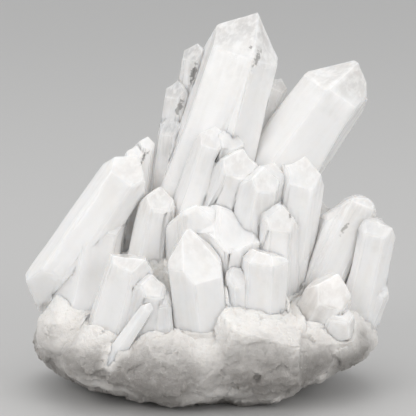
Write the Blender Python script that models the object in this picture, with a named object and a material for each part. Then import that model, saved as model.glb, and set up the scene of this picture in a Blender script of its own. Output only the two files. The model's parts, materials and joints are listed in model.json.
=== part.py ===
"""Quartz crystal cluster: milky points standing on a rough quartz block.

Metres, +Z up. The origin is the middle of the flat patch that the block rests on.
The view from the front looks along +Y, with +X to the right.
"""
import math
import random

import bmesh
import bpy
from mathutils import Vector, noise
from mathutils.bvhtree import BVHTree

MM = 0.001

# Quartz angles: an end face leans 38.2 degrees from the crystal's axis.
END_LEAN = math.radians(38.2)
END_RISE = 1.0 / math.tan(END_LEAN)

# Room left between neighbouring pieces.
GAP = 0.3 * MM

# Corners nearer than this are one corner, and a plane cuts only what lies further off it.
SMALLEST = 0.03 * MM
CUT_TOLERANCE = 0.0001 * MM

# The cube that each crystal is cut from, larger than any of them.
STOCK = 400 * MM

# The rough block: middle, reach each way, and the faces it is thinned to.
BLOCK_MIDDLE = Vector((-1, -1, 13.5)) * MM
BLOCK_REACH = Vector((55.5, 41, 17.5)) * MM
BLOCK_FACES = 1700

# Its skin: broad lumps, sharp ridges and round pits, each with its spacing in millimetres.
LUMP_SPACING = 19.0
LUMP_HEIGHT = 2.8 * MM
RIDGE_SPACING = 13.0
RIDGE_HEIGHT = 1.5 * MM
RIDGE_LEVEL = 1.2
PIT_SPACING = 8.0
PIT_DEPTH = 2.4 * MM
PIT_LEVEL = 0.3

# Its right end lifts off the ground, from this far out and over this run.
LIFT = 4.0 * MM
LIFT_START = 20 * MM
LIFT_RUN = 20 * MM

# The rounded lumps' own skin.
LUMP_GRAIN = 2.4 * MM
LUMP_GRAIN_SPACING = 4.0

# Lumps on the block: middle and reach of each.
LUMPS = [
    (Vector((-45, -16, 22)) * MM, Vector((9, 8, 7.5)) * MM),
    (Vector((-34, -29, 16)) * MM, Vector((11, 7, 8)) * MM),
    (Vector((-11, -33, 15)) * MM, Vector((15, 7, 10)) * MM),
    (Vector((42, 4, 17)) * MM, Vector((11, 12, 9)) * MM),
    (Vector((-36, 20, 20)) * MM, Vector((12, 12, 9)) * MM),
    (Vector((20, 28, 16)) * MM, Vector((13, 9, 10)) * MM),
]

# The broken ledge at the front: a place on each face, and the way the face looks.
LEDGE = [
    (Vector((28, -36, 15)) * MM, Vector((1.0, -0.15, 0.0))),
    (Vector((20, -35, 26.5)) * MM, Vector((0.3, -0.35, 1.0))),
    (Vector((15, -39, 16)) * MM, Vector((0.0, -1.0, -0.2))),
    (Vector((3, -36, 18)) * MM, Vector((-1.0, -0.5, 0.2))),
    (Vector((15, -30, 6)) * MM, Vector((0.1, -0.3, -1.0))),
    (Vector((27, -37, 10)) * MM, Vector((0.7, -0.5, -0.6))),
    (Vector((15, -14, 15)) * MM, Vector((0.0, 1.0, 0.0))),
    (Vector((15, -30, 1.5)) * MM, Vector((0.0, 0.0, -1.0))),
]

# Small points on the block: how many, half their width, their length, how high round
# the block they stand in degrees, how far they lean, and the share that is bedded in.
SMALL_POINTS = 26
SMALL_SEED = 12
SMALL_HALF = (1.3, 2.6)
SMALL_LENGTH = (5.0, 10.0)
SMALL_HEIGHT = (20, 46)
SMALL_LEAN = 0.4
SMALL_RISE = 0.7
SMALL_STEP = 0.3
SMALL_BEDDED = 0.5

# The six end faces of a usual quartz point: three large and three small.
TRIGONAL = (0, 4, 0, 4, 0, 4)


def point(tip, foot, half, turn=0.0, ends=TRIGONAL, taper=2.5, sides=(1, 1, 1, 1, 1, 1), cuts=()):
    """One crystal point, in millimetres and degrees.

    tip and foot are the ends of its axis, half is half its width across flats.
    turn spins it round its axis; at 0 one side faces the front.
    ends lifts each of the six end faces along the axis, so a lifted face is a small one.
    sides widens or narrows each side; taper is how much it widens towards the foot.
    cuts are more flat faces, each a place on it and the way that it looks.
    """
    return dict(tip=Vector(tip) * MM, foot=Vector(foot) * MM, half=half * MM,
                turn=math.radians(turn), ends=[e * MM for e in ends],
                taper=math.radians(taper), sides=sides,
                cuts=[(Vector(place) * MM, Vector(way).normalized()) for place, way in cuts])


# Front pieces come first: each later piece is fitted round the ones before it.
CLUSTER = {
    "front_crystal": [
        point((-5.2, -32, 56.4), (0.5, -25, 10), 7.9, turn=25, ends=(-3.6, -0.5, 3, 4, 2, 0), taper=1.5),
    ],
    "front_right_crystal": [
        point((18.2, -28, 54), (16, -23, 8), 6.4, turn=-14, ends=(1, 1, 1, 2, 1, 1), taper=-1,
              cuts=[((17.8, -28, 49), (0.26, 0.1, 0.96))]),
        point((9.4, -27, 43.5), (11, -23, 12), 2.6, turn=30),
    ],
    "blade_crystal": [
        point((-17.4, -35, 35), (-30.5, -33, 15), 1.9, turn=20),
    ],
    "front_left_crystal": [
        point((-21.8, -27, 53), (-33, -22, 12), 6.4, turn=-20,
              cuts=[((-22, -28, 47.4), (0.12, 0.1, 0.98))]),
        point((-17, -31, 43), (-24, -25, 10), 3.8, turn=20),
        point((-14.8, -30, 37.5), (-14, -26, 10), 2.9, turn=5),
    ],
    "right_front_crystal": [
        point((40.5, -25, 42), (29, -14, 14), 6.8, turn=10),
        point((43.5, -30, 27.5), (35, -12, 20), 4.8, turn=0),
    ],
    "center_crystal": [
        point((-3.5, -15, 68), (-3.5, -8, 12), 9.0, turn=4, ends=(8, 8, 8, 8, 8, 8), taper=1,
              sides=(1, 1.25, 1.1, 1, 1, 1),
              cuts=[((-9, -22, 61), (-0.42, 0.35, 0.84)), ((2, -22, 60.3), (0.48, 0.42, 0.77))]),
        point((8, -19, 57.8), (4.6, -12, 12), 7.8, turn=22, ends=(0, 1, 2, 3, 3, 1), taper=1),
    ],
    "inner_left_crystal": [
        point((-14.8, -8, 67), (-25, -9, 14), 4.8, turn=10),
    ],
    "left_crystal": [
        point((-21.6, -5, 76.0), (-56, -9, 27), 7.0, turn=-6, ends=(0, 3, 0, 3, 0, 4), taper=0.5,
              cuts=[((-58.4, -12, 38), (-0.95, 0, -0.3)), ((-58.4, -12, 38), (-0.21, -0.84, -0.49)),
                    ((-45.9, -15.5, 38.7), (0.51, -0.53, -0.68))]),
        point((-33.5, -3.5, 60), (-41.5, -13, 17), 7.6, turn=12, taper=1.5),
        point((-19.2, 5, 80.5), (-29, 3, 30), 2.8, turn=10, taper=4),
        point((-22.8, 3, 77.5), (-32, 1, 30), 3.0, turn=-10, taper=4),
    ],
    "slender_crystals": [
        point((3.2, -7, 88), (-12.5, -4, 30), 4.4, turn=0),
        point((8.2, -6, 88), (-7, -4, 30), 3.6, turn=15),
        point((11, -12, 79), (-1.5, -6, 30), 5.2, turn=0),
        point((17.4, -17, 74), (7, -8, 30), 3.6, turn=25),
        point((20.6, -11, 75), (12, -6, 30), 4.8, turn=-5),
    ],
    "middle_right_crystal": [
        point((30.6, -8, 76), (20.5, -5, 20), 6.8, turn=0),
        point((22.9, -19, 62.5), (18.5, -12, 18), 4.6, turn=0),
    ],
    "right_low_crystal": [
        point((50, -3, 66), (26, -2, 14), 7.4, turn=10, ends=(4, 4, 4, 4, 4, 4), taper=2.5,
              cuts=[((48, -3, 62.7), (0.1, 0.1, 1)), ((42.8, -3, 60.6), (-0.6, 0.1, 0.8)),
                    ((52.2, -3, 60.5), (0.8, 0.1, 0.6))]),
        point((36.8, 6, 59.5), (28, 5, 25), 3.2, turn=0),
    ],
    "right_outer_crystal": [
        point((54.9, -8, 58), (46.4, -6, 17), 5.4, turn=-10, taper=0.5,
              cuts=[((56, -8, 54), (0.25, 0.1, 0.95))]),
        point((55.6, -8, 35.5), (48, -6, 18), 3.4, turn=0),
    ],
    "tall_crystal": [
        point((14.6, 8, 119.6), (-17, 5, 14), 10.6, turn=-22, ends=(0, 2, 2, 4, 0, 6), taper=2.9,
              sides=(1, 1.16, 1, 1, 1, 1)),
        point((-3.5, 13, 109.6), (-8, 12, 40), 4.2, turn=-30),
        point((-9.4, 11, 97.6), (-13.5, 10, 40), 4.1, turn=-30),
        point((-10.8, 7, 86), (-14.7, 6, 35), 4.1, turn=-30),
        point((23.8, 15, 98.2), (6, 10, 62), 3.4, turn=0),
    ],
    "right_crystal": [
        point((47.4, 9, 104), (0, 5, 36), 10.2, turn=-50, ends=(0, 1, 5, 1, 3, 1.5), taper=1.5),
    ],
    "back_crystal": [
        point((4, 34, 82), (-2, 8, 14), 9.0, turn=20),
        point((12, 36, 64), (4, 12, 20), 4.5, turn=0),
    ],
    "back_left_crystal": [
        point((-30, 27, 60), (-14, 6, 14), 8.0, turn=10),
    ],
    "back_right_crystal": [
        point((34, 28, 56), (12, 6, 14), 8.0, turn=-5),
    ],
    "back_low_left_crystal": [
        point((-42, 22, 36), (-20, 8, 12), 6.4, turn=15),
        point((-30, 36, 30), (-14, 12, 10), 5.0, turn=0),
    ],
    "back_low_crystal": [
        point((-8, 45, 42), (-4, 12, 12), 7.0, turn=5),
        point((12, 44, 32), (6, 12, 10), 5.5, turn=25),
    ],
    "back_low_right_crystal": [
        point((48, 20, 38), (22, 8, 12), 6.2, turn=-10),
    ],
}


# Finishes: colour, roughness, and the share of light that passes straight through.
MILKY = ((0.86, 0.86, 0.84), 0.22, 0.1)
CLEARER = ((0.82, 0.83, 0.83), 0.16, 0.25)
FROSTED = ((0.87, 0.85, 0.81), 0.4, 0.05)
SUGARY = ((0.80, 0.79, 0.76), 0.6, 0.0)

# The pieces that aren't plain milky.
FINISHES = {
    "blade_crystal": CLEARER,
    "inner_left_crystal": CLEARER,
    "slender_crystals": CLEARER,
    "right_low_crystal": CLEARER,
    "tall_crystal": CLEARER,
    "right_front_crystal": FROSTED,
    "back_low_left_crystal": FROSTED,
    "back_low_crystal": FROSTED,
    "matrix": SUGARY,
}


def finish(target):
    """Give a piece its own quartz material."""
    colour, roughness, transmission = FINISHES.get(target.name, MILKY)
    made = bpy.data.materials.new(target.name + "_quartz")
    made.use_nodes = True
    shader = made.node_tree.nodes["Principled BSDF"]
    shader.inputs["Base Color"].default_value = (*colour, 1.0)
    shader.inputs["Roughness"].default_value = roughness
    shader.inputs["Metallic"].default_value = 0.0
    shader.inputs["IOR"].default_value = 1.544
    shader.inputs["Transmission Weight"].default_value = transmission
    made.diffuse_color = (*colour, 1.0)
    target.data.materials.clear()
    target.data.materials.append(made)


def new_object(name, bm):
    """Put a bmesh in the scene as an object of its own."""
    mesh = bpy.data.meshes.new(name)
    bm.to_mesh(mesh)
    bm.free()
    made = bpy.data.objects.new(name, mesh)
    bpy.context.scene.collection.objects.link(made)
    return made


def point_planes(crystal, grow=0.0):
    """The planes that bound one crystal point, each as a place and a way out."""
    tip, foot, half = crystal["tip"], crystal["foot"], crystal["half"]
    up = (tip - foot).normalized()
    facing = Vector((0, -1, 0))
    facing = (facing - up * facing.dot(up)).normalized()
    right = up.cross(facing)
    shoulder = tip - up * half * END_RISE
    planes = [(foot, -up)]
    for k in range(6):
        angle = crystal["turn"] + k * math.pi / 3
        radial = facing * math.cos(angle) + right * math.sin(angle)
        side_out = radial * math.cos(crystal["taper"]) + up * math.sin(crystal["taper"])
        end_out = up * math.sin(END_LEAN) + radial * math.cos(END_LEAN)
        planes.append((shoulder + radial * half * crystal["sides"][k], side_out))
        planes.append((tip + up * crystal["ends"][k], end_out))
    planes += crystal["cuts"]
    return [(place + out * grow, out) for place, out in planes]


def cut_block(planes):
    """A big cube cut down by planes to the crystal between them."""
    bm = bmesh.new()
    bmesh.ops.create_cube(bm, size=STOCK)
    for place, out in planes:
        everything = bm.verts[:] + bm.edges[:] + bm.faces[:]
        bmesh.ops.bisect_plane(bm, geom=everything, dist=CUT_TOLERANCE, plane_co=place,
                               plane_no=out, clear_outer=True)
        rim = [edge for edge in bm.edges if edge.is_boundary]
        if rim:
            bmesh.ops.holes_fill(bm, edges=rim, sides=0)
    bmesh.ops.remove_doubles(bm, verts=bm.verts, dist=SMALLEST)
    bmesh.ops.recalc_face_normals(bm, faces=bm.faces)
    return bm


def crystal_object(name, crystal, grow=0.0):
    """One crystal point as an object."""
    return new_object(name, cut_block(point_planes(crystal, grow)))


def apply_boolean(target, other, operation):
    """Join another object to a target, or cut it out, and take the other away."""
    modifier = target.modifiers.new(operation.lower(), "BOOLEAN")
    modifier.operation = operation
    modifier.solver = "EXACT"
    modifier.object = other
    bpy.context.view_layer.update()
    shape = bpy.data.meshes.new_from_object(
        target.evaluated_get(bpy.context.evaluated_depsgraph_get()))
    target.modifiers.remove(modifier)
    target.data = shape
    bpy.data.objects.remove(other)


def body_volume(faces):
    """The volume inside a set of faces that closes on itself."""
    total = 0.0
    for face in faces:
        first = face.verts[0].co
        for a, b in zip(face.verts[1:], face.verts[2:]):
            total += first.dot(a.co.cross(b.co)) / 6.0
    return total


def bodies_of(bm):
    """The closed bodies of a mesh, smallest first, each a set of faces."""
    left = set(bm.faces)
    bodies = []
    while left:
        found, waiting = set(), [left.pop()]
        while waiting:
            face = waiting.pop()
            found.add(face)
            for edge in face.edges:
                if len(edge.link_faces) != 2:
                    continue
                for other in edge.link_faces:
                    if other in left:
                        left.remove(other)
                        waiting.append(other)
        bodies.append(found)
    bodies.sort(key=body_volume)
    return bodies


def clear_crumbs(bm):
    """Take away all but the largest body, with its loose edges and corners."""
    crumbs = [face for body in bodies_of(bm)[:-1] for face in body]
    bmesh.ops.delete(bm, geom=crumbs, context="FACES_ONLY")
    loose = [edge for edge in bm.edges if not edge.link_faces]
    bmesh.ops.delete(bm, geom=loose, context="EDGES")
    alone = [vert for vert in bm.verts if not vert.link_faces]
    bmesh.ops.delete(bm, geom=alone, context="VERTS")


def keep_largest_body(target):
    """Clear away the crumbs that a cut leaves loose, and tidy what stays."""
    bm = bmesh.new()
    bm.from_mesh(target.data)
    clear_crumbs(bm)
    bmesh.ops.dissolve_limit(bm, angle_limit=math.radians(0.5), verts=bm.verts, edges=bm.edges)
    bmesh.ops.triangulate(bm, faces=bm.faces)
    bmesh.ops.remove_doubles(bm, verts=bm.verts, dist=SMALLEST)
    bmesh.ops.dissolve_degenerate(bm, edges=bm.edges, dist=SMALLEST)
    clear_crumbs(bm)
    bmesh.ops.triangulate(bm, faces=bm.faces)
    bm.to_mesh(target.data)
    bm.free()


def box_of(target):
    """The lowest and highest corner of an object."""
    places = [vert.co for vert in target.data.vertices]
    low = Vector([min(place[i] for place in places) for i in range(3)])
    high = Vector([max(place[i] for place in places) for i in range(3)])
    return low, high


def boxes_meet(first, second):
    """Whether two objects' boxes overlap."""
    low_a, high_a = box_of(first)
    low_b, high_b = box_of(second)
    return all(low_a[i] <= high_b[i] and low_b[i] <= high_a[i] for i in range(3))


def fit_round(target, crystals):
    """Cut a target back so that it clears every crystal of a list."""
    for crystal in crystals:
        room = crystal_object("room", crystal, GAP)
        if boxes_meet(target, room):
            apply_boolean(target, room, "DIFFERENCE")
        else:
            bpy.data.objects.remove(room)


def grown_points(name, crystals):
    """The points of one piece, joined where they grew through each other."""
    made = crystal_object(name, crystals[0])
    for crystal in crystals[1:]:
        apply_boolean(made, crystal_object("twin", crystal), "UNION")
    return made


def block_surface(direction):
    """Where the rough block's surface is in a direction from its middle."""
    stretch = math.sqrt(sum((direction[i] / BLOCK_REACH[i]) ** 2 for i in range(3)))
    place = BLOCK_MIDDLE + direction / stretch
    spot = place / MM
    lump = noise.noise(spot / LUMP_SPACING)
    ridge = noise.ridged_multi_fractal(spot / RIDGE_SPACING, 0.9, 2.2, 4, 1.0, 2.0) - RIDGE_LEVEL
    pit = noise.voronoi(spot / PIT_SPACING)[0][0] - PIT_LEVEL
    place += direction * (LUMP_HEIGHT * lump + RIDGE_HEIGHT * ridge - PIT_DEPTH * pit)
    place.z += LIFT * min(max(place.x - LIFT_START, 0) / LIFT_RUN, 1)
    return place


def lump_object(middle, reach):
    """A rounded lump with a rough skin."""
    bm = bmesh.new()
    bmesh.ops.create_icosphere(bm, subdivisions=3, radius=1.0)
    for vert in bm.verts:
        way = vert.co.copy()
        place = middle + Vector([way[i] * reach[i] for i in range(3)])
        grain = noise.noise(place / MM / LUMP_GRAIN_SPACING)
        vert.co = place + way * grain * LUMP_GRAIN
    return new_object("lump", bm)


def rough_block():
    """The rough block, with its flat resting patch."""
    bm = bmesh.new()
    bmesh.ops.create_icosphere(bm, subdivisions=6, radius=1.0)
    for vert in bm.verts:
        vert.co = block_surface(vert.co.normalized())
    made = new_object("matrix", bm)
    thin = made.modifiers.new("thin", "DECIMATE")
    thin.ratio = BLOCK_FACES / len(made.data.polygons)
    bpy.context.view_layer.update()
    made.data = bpy.data.meshes.new_from_object(
        made.evaluated_get(bpy.context.evaluated_depsgraph_get()))
    made.modifiers.clear()
    bm = bmesh.new()
    bm.from_mesh(made.data)
    bmesh.ops.bisect_plane(bm, geom=bm.verts[:] + bm.edges[:] + bm.faces[:], dist=CUT_TOLERANCE,
                           plane_co=(0, 0, 0), plane_no=(0, 0, -1), clear_outer=True)
    bmesh.ops.holes_fill(bm, edges=[edge for edge in bm.edges if edge.is_boundary], sides=0)
    bm.to_mesh(made.data)
    bm.free()
    return made


def small_points(block):
    """Small crystals that stand on the block, as a list of points."""
    bm = bmesh.new()
    bm.from_mesh(block.data)
    tree = BVHTree.FromBMesh(bm)
    bm.free()
    dice = random.Random(SMALL_SEED)
    outside = max(BLOCK_REACH) * 2
    found = []
    for i in range(SMALL_POINTS):
        around = 2 * math.pi * (i + dice.uniform(-SMALL_STEP, SMALL_STEP)) / SMALL_POINTS
        height = math.radians(dice.uniform(*SMALL_HEIGHT))
        way = Vector((math.cos(around) * math.cos(height), math.sin(around) * math.cos(height),
                      math.sin(height)))
        place = tree.ray_cast(BLOCK_MIDDLE + way * outside, -way)[0] / MM
        lean = (way + Vector((dice.uniform(-SMALL_LEAN, SMALL_LEAN),
                              dice.uniform(-SMALL_LEAN, SMALL_LEAN),
                              dice.uniform(0.0, SMALL_RISE)))).normalized()
        length = dice.uniform(*SMALL_LENGTH)
        half = dice.uniform(*SMALL_HALF)
        tip = place + lean * length * (1 - SMALL_BEDDED)
        foot = place - lean * length * SMALL_BEDDED
        found.append(point(tip, foot, half, turn=dice.uniform(0, 60)))
    return found


def main():
    for old in list(bpy.data.objects):
        bpy.data.objects.remove(old)

    before = []
    for name, crystals in CLUSTER.items():
        made = grown_points(name, crystals)
        fit_round(made, before)
        keep_largest_body(made)
        finish(made)
        before += crystals

    block = rough_block()
    for middle, reach in LUMPS:
        apply_boolean(block, lump_object(middle, reach), "UNION")
    ledge = cut_block([(place, way.normalized()) for place, way in LEDGE])
    apply_boolean(block, new_object("ledge", ledge), "UNION")
    for crystal in small_points(block):
        apply_boolean(block, crystal_object("small", crystal), "UNION")
    fit_round(block, before)
    keep_largest_body(block)
    finish(block)


if __name__ == "__main__":
    main()
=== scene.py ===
import json
import math
import random

import bmesh
import bpy
import numpy as np
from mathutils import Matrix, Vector, noise
from mathutils.bvhtree import BVHTree

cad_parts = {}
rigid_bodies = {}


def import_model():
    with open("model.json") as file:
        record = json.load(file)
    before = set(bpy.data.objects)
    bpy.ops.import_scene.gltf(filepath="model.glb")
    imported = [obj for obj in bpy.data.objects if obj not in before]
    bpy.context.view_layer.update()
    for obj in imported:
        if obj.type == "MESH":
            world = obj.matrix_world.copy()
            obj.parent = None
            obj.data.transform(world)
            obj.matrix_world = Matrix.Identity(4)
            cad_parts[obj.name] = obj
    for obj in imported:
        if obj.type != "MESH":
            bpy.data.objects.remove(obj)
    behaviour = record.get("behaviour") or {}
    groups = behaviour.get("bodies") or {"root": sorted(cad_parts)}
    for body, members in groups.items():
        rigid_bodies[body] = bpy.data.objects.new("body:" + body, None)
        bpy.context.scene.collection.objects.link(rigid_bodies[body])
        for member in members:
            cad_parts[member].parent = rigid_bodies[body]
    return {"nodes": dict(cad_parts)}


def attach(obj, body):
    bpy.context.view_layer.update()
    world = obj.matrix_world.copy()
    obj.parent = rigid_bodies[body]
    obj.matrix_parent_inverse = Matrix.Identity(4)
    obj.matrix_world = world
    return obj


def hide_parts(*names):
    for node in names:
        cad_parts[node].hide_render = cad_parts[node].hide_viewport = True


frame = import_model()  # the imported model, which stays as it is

for old in [item for item in bpy.data.objects if item.name in ("Cube", "Camera", "Light")]:
    bpy.data.objects.remove(old)  # what a new file holds
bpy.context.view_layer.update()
mm = 0.001
endLean = math.radians(38.2)  # quartz's end faces lean this far from the axis
endRise = 1 / math.tan(endLean)
closeCut = 1e-7  # a plane cuts what lies further off it than this, in metres
weld = 0.02 * mm  # corners nearer than this are made one
roomy = 400 * mm  # wider than every piece
farOff = 1.0  # metres, further than anything here
print("frame loaded:", len(frame["nodes"]), "pieces")


class Wire:
    # One output of a node. Sums written on it add Math nodes to its tree.
    def __init__(self, wiring, output):
        self.wiring = wiring
        self.output = output

    def maths(self, operation, first, second=0.0):
        return self.wiring.add("ShaderNodeMath", {"operation": operation}, {0: first, 1: second})

    def __add__(self, other):
        return self.maths("ADD", self, other)

    def __radd__(self, other):
        return self.maths("ADD", other, self)

    def __sub__(self, other):
        return self.maths("SUBTRACT", self, other)

    def __rsub__(self, other):
        return self.maths("SUBTRACT", other, self)

    def __mul__(self, other):
        return self.maths("MULTIPLY", self, other)

    def most(self, other):
        return self.maths("MAXIMUM", self, other)

    def least(self, other):
        return self.maths("MINIMUM", self, other)

    def ramp(self, low, high):
        # 0 below low, 1 above high and a soft step between; low may be the higher one
        return self.wiring.add("ShaderNodeMapRange", {"interpolation_type": "SMOOTHSTEP"},
                               {0: self, 1: low, 2: high, 3: 0.0, 4: 1.0})


class Wiring:
    # A node tree that is filled by one method.
    def __init__(self, tree):
        self.tree = tree

    def add(self, kind, settings=None, sockets=None, out=0):
        node = self.tree.nodes.new(kind)
        for name, value in (settings or {}).items():
            setattr(node, name, value)
        for name, value in (sockets or {}).items():
            if isinstance(value, Wire):
                self.tree.links.new(value.output, node.inputs[name])
            else:
                node.inputs[name].default_value = value
        return Wire(self, node.outputs[out]) if len(node.outputs) else node

    def vectorMath(self, operation, sockets, out=0):
        return self.add("ShaderNodeVectorMath", {"operation": operation}, sockets, out)

    def inMillimetres(self, vector):
        return self.vectorMath("SCALE", {0: vector, "Scale": 1 / mm})

    def heightOf(self, vector):
        return self.add("ShaderNodeSeparateXYZ", sockets={0: vector}, out=2)

    def stretch(self, vector, factors):
        return self.vectorMath("MULTIPLY", {0: vector, 1: factors})

    def cloud(self, vector, spacing, detail=2.0, roughness=0.5):
        # soft noise from 0 to 1 with lumps about as wide as the spacing
        return self.add("ShaderNodeTexNoise", sockets={
            "Vector": vector, "Scale": 1 / spacing, "Detail": detail, "Roughness": roughness})

    def cells(self, vector, spacing):
        # how far each place is from the middle of its cell
        return self.add("ShaderNodeTexVoronoi", sockets={"Vector": vector, "Scale": 1 / spacing})

    def rubble(self, vector, spacing, tilt, step):
        # flat facets, each leaning its own way and a little higher or lower
        cell = self.add("ShaderNodeTexVoronoi", sockets={"Vector": vector, "Scale": 1 / spacing}, out=1)
        middle = Wire(self, cell.output.node.outputs["Position"])
        lean = self.vectorMath("SUBTRACT", {0: cell, 1: (0.5, 0.5, 0.5)})
        away = self.vectorMath("SUBTRACT", {0: vector, 1: middle})
        slope = self.vectorMath("DOT_PRODUCT", {0: lean, 1: away}, 1)
        return slope * tilt + (self.add("ShaderNodeSeparateXYZ", sockets={0: cell}) - 0.5) * step

    def blend(self, factor, first, second):
        # from one colour to another
        ends = [end if isinstance(end, Wire) else (*end, 1) for end in (first, second)]
        return self.add("ShaderNodeMix", {"data_type": "RGBA"}, {0: factor, 6: ends[0], 7: ends[1]}, 2)


def emptied(owner):
    # the node tree of a material or a world, with nothing in it yet
    owner.use_nodes = True
    owner.node_tree.nodes.clear()
    return Wiring(owner.node_tree)


def link(name, data):
    made = bpy.data.objects.new(name, data)
    bpy.context.scene.collection.objects.link(made)
    return made


def linkFilled(name, bm):
    # a new object with this mesh
    made = link(name, bpy.data.meshes.new(name))
    bm.to_mesh(made.data)
    bm.free()
    return made


def surfaceTree(piece):
    bm = bmesh.new()
    bm.from_mesh(piece.data)
    tree = BVHTree.FromBMesh(bm)
    bm.free()
    return tree


def settle(piece):
    # turn the modifiers' result into a plain mesh
    bpy.context.view_layer.update()
    graph = bpy.context.evaluated_depsgraph_get()
    mesh = bpy.data.meshes.new_from_object(piece.evaluated_get(graph), preserve_all_data_layers=True,
                                           depsgraph=graph)
    piece.modifiers.clear()
    old = piece.data
    piece.data = mesh
    bpy.data.meshes.remove(old)


def combine(target, other, operation):
    # join another closed mesh to a target, or cut it out of it
    joining = target.modifiers.new("combine", "BOOLEAN")
    joining.operation = operation
    joining.solver = "MANIFOLD"
    joining.object = other
    settle(target)
    removeObject(other)


def removeObject(thing):
    mesh = thing.data
    bpy.data.objects.remove(thing)
    bpy.data.meshes.remove(mesh)


def joined(parts):
    # several closed meshes as one
    made = parts[0]
    for part in parts[1:]:
        combine(made, part, "UNION")
    return made


def readRows(items, field, width, kind=np.float32):
    # one field of a mesh's corners or edges, one row each
    found = np.empty(len(items) * width, dtype=kind)
    items.foreach_get(field, found)
    return found.reshape(-1, width)


def places(mesh):
    return readRows(mesh.vertices, "co", 3).astype(float)


def setPlaces(mesh, spots):
    mesh.vertices.foreach_set("co", spots.astype(np.float32).ravel())
    mesh.update()


def writeAttribute(mesh, name, kind, values):
    old = mesh.attributes.get(name)
    if old:
        mesh.attributes.remove(old)
    field = "vector" if kind == "FLOAT_VECTOR" else "value"
    mesh.attributes.new(name, kind, "POINT").data.foreach_set(field, values.astype(np.float32).ravel())


cameraView = {
    "elevation": 10.0,  # degrees above the horizon
    "distance": 620.0,  # mm to the target
    "target": (0.0, 0.0, 58.0),  # mm
    "lens": 167.7,
}


def placeCamera(view):
    lift = math.radians(view["elevation"])
    back = Vector((0, -math.cos(lift), math.sin(lift)))
    camera = link("camera", bpy.data.cameras.new("camera"))
    camera.data.lens = view["lens"]
    camera.data.clip_start = 0.01
    camera.data.clip_end = 20
    camera.location = (Vector(view["target"]) + back * view["distance"]) * mm
    camera.rotation_euler = (-back).to_track_quat("-Z", "Y").to_euler()
    bpy.context.scene.camera = camera


placeCamera(cameraView)
print("camera placed")


# The trees of Geometry Nodes.

socketKinds = {"Geometry": "Geometry", "shift": "Vector", "Material": "Material"}


def newTree(name, labels):
    # a modifier's tree with its named inputs, most of them numbers
    tree = bpy.data.node_groups.new(name, "GeometryNodeTree")
    tree.is_modifier = True
    for label in ("Geometry", *labels, "Material"):
        kind = "NodeSocket" + socketKinds.get(label, "Float")
        tree.interface.new_socket(label, in_out="INPUT", socket_type=kind)
    tree.interface.new_socket("Geometry", in_out="OUTPUT", socket_type="NodeSocketGeometry")
    wiring = Wiring(tree)
    entry = tree.nodes.new("NodeGroupInput")
    given = {socket.name: Wire(wiring, socket) for socket in entry.outputs if socket.name}
    return tree, wiring, given


def raiseSkin(wiring, given, rise):
    # move the surface out by the rise, in mm; every tree ends in real meshes with their material
    along = wiring.add("GeometryNodeInputNormal")
    offset = wiring.vectorMath("SCALE", {0: along, "Scale": rise * mm})
    moved = wiring.add("GeometryNodeSetPosition", sockets={"Geometry": given["Geometry"], "Offset": offset})
    real = wiring.add("GeometryNodeRealizeInstances", sockets={0: moved})
    done = wiring.add("GeometryNodeSetMaterial", sockets={"Geometry": real, "Material": given["Material"]})
    leaving = wiring.tree.nodes.new("NodeGroupOutput")
    wiring.tree.links.new(done.output, leaving.inputs[0])


def useTree(piece, tree, values):
    # run a tree over a piece, with its inputs set by their sockets' identifiers
    modifier = piece.modifiers.new(tree.name, "NODES")
    modifier.node_group = tree
    for socket in tree.interface.items_tree:
        if socket.in_out == "INPUT" and socket.name in values:
            modifier[socket.identifier] = values[socket.name]
    settle(piece)


growthPattern = {
    "waves": (9.0, 3.0),  # mm across, broad and fine
    "lineStretch": (0.12, 0.12, 1.1), "lineHeight": 0.7,  # lines across the side faces, per mm
    "stepStretch": (0.10, 0.10, 0.34), "stepSize": 0.12,
    "ribStretch": (0.55, 0.55, 0.035), "ribEdges": (0.36, 0.62), "ribsStart": (1.0, 9.0),
    "hill": 3.4,  # mm across, on the end faces
    "bite": 2.2, "biteEdges": (0.5, 0.72),
    "nick": 4.5, "nickEdges": (0.2, 0.05), "nickDepth": 0.5,
    "frostGrain": 1.1, "frostRun": 14.0,
    "tornGrain": 2.4, "tornStretch": (1.0, 1.0, 0.6),
    "rubble": (5.0, 2.2), "rubbleStarts": (4.0, 16.0), "rubblePatch": 8.0, "rubbleSpread": 24.0,
}


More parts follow.
